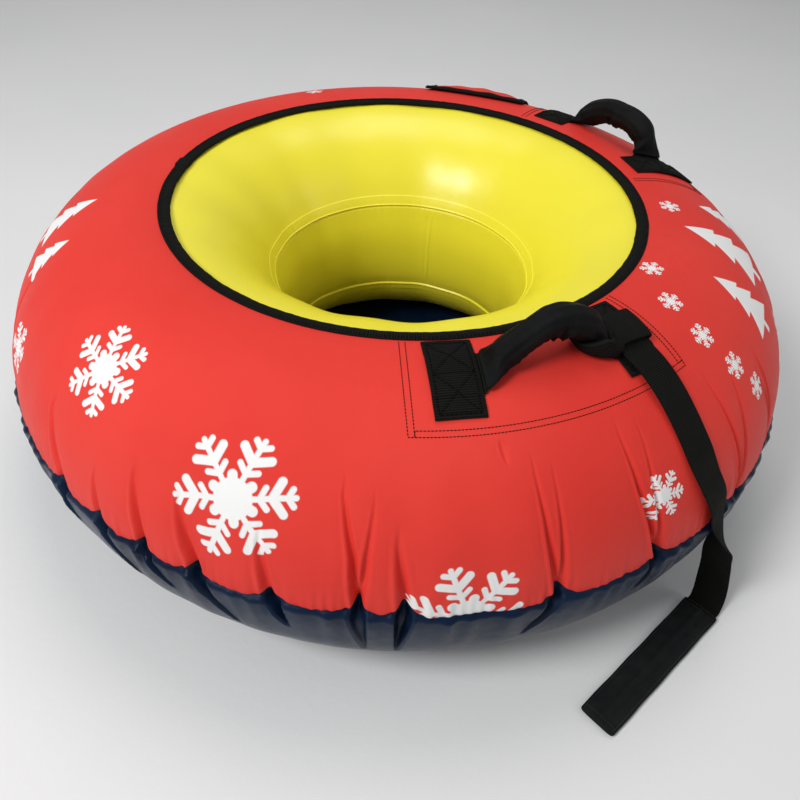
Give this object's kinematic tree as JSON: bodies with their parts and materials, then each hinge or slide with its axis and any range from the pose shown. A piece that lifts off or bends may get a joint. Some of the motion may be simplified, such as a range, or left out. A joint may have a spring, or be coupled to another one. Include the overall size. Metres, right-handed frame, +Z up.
{
  "type": "snow tube",
  "caption": "Inflated snow tube in a gathered fabric cover with a glossy base, padded arched handles, a flat leash with a padded grip and a flap over the valve.",
  "frame": {"origin": "middle of the flat underside, on the surface that the tube lies on", "axes": "+Z up through the hole, -Y towards the front handle, +X towards the leash"},
  "size_m": [0.9952, 1.0206, 0.4019],
  "materials": {
    "red_fabric": "smooth coated fabric, low sheen",
    "dark_base": "glossy coated sheet",
    "binding": "woven tape",
    "yellow_vinyl": "satin vinyl",
    "backing": "woven backing",
    "webbing": "ribbed webbing",
    "sleeve_fabric": "smooth woven fabric",
    "foam": "closed-cell foam",
    "valve_plastic": "moulded plastic",
    "membrane": "soft rubber",
    "cap_plastic": "moulded plastic"
  },
  "bodies": {
    "tube": {"top_cover": "red_fabric", "bottom_cover": "dark_base", "opening_binding": "binding", "inner_tube": "yellow_vinyl", "front_reinforcement": "backing", "rear_reinforcement": "backing", "front_handle_patch_start": "webbing", "front_handle_patch_end": "webbing", "front_handle_strap": "webbing", "front_handle_sleeve_end_start": "sleeve_fabric", "front_handle_sleeve_end_far": "sleeve_fabric", "rear_handle_patch_start": "webbing", "rear_handle_patch_end": "webbing", "rear_handle_strap": "webbing", "rear_handle_sleeve_end_start": "sleeve_fabric", "rear_handle_sleeve_end_far": "sleeve_fabric", "leash_hitch": "webbing", "leash_wrap": "webbing", "leash_strap": "webbing", "leash_grip": "sleeve_fabric", "valve_base": "valve_plastic"},
    "front_grip": {"front_handle_sleeve": "sleeve_fabric", "front_handle_foam_core": "foam"},
    "rear_grip": {"rear_handle_sleeve": "sleeve_fabric", "rear_handle_foam_core": "foam"},
    "flap": {"access_flap": "red_fabric", "access_flap_binding": "binding"},
    "insert": {"valve_insert": "valve_plastic", "valve_membrane": "membrane"},
    "cap": {"valve_cap": "cap_plastic"}
  },
  "joints": [
    {"name": "front_handle_swing", "type": "hinge", "parent": "tube", "child": "front_grip", "pos_m": [0.07898, -0.34086, 0.34525], "axis": [0.9086, 0.4177, 0.0026], "range_deg": [-45, 45], "deforming": ["front_handle_strap", "front_handle_sleeve_end_start", "front_handle_sleeve_end_far", "leash_wrap"]},
    {"name": "rear_handle_swing", "type": "hinge", "parent": "tube", "child": "rear_grip", "pos_m": [0.33652, 0.14397, 0.34159], "axis": [-0.5647, 0.8253, 0.0001], "range_deg": [-33, 45], "deforming": ["rear_handle_strap", "rear_handle_sleeve_end_start", "rear_handle_sleeve_end_far"]},
    {"name": "flap_open", "type": "hinge", "parent": "tube", "child": "flap", "pos_m": [0.13011, 0.42556, 0.29643], "axis": [-0.9563, 0.2924, 0], "range_deg": [0, 175]},
    {"name": "insert_turn", "type": "hinge", "parent": "tube", "child": "insert", "pos_m": [0.10432, 0.38934, 0.3184], "axis": [0.1254, 0.4681, 0.8747], "range_deg": [0, 540]},
    {"name": "cap_turn", "type": "hinge", "parent": "insert", "child": "cap", "pos_m": [0.10432, 0.38934, 0.3184], "axis": [0.1254, 0.4681, 0.8747], "continuous": true}
  ]
}
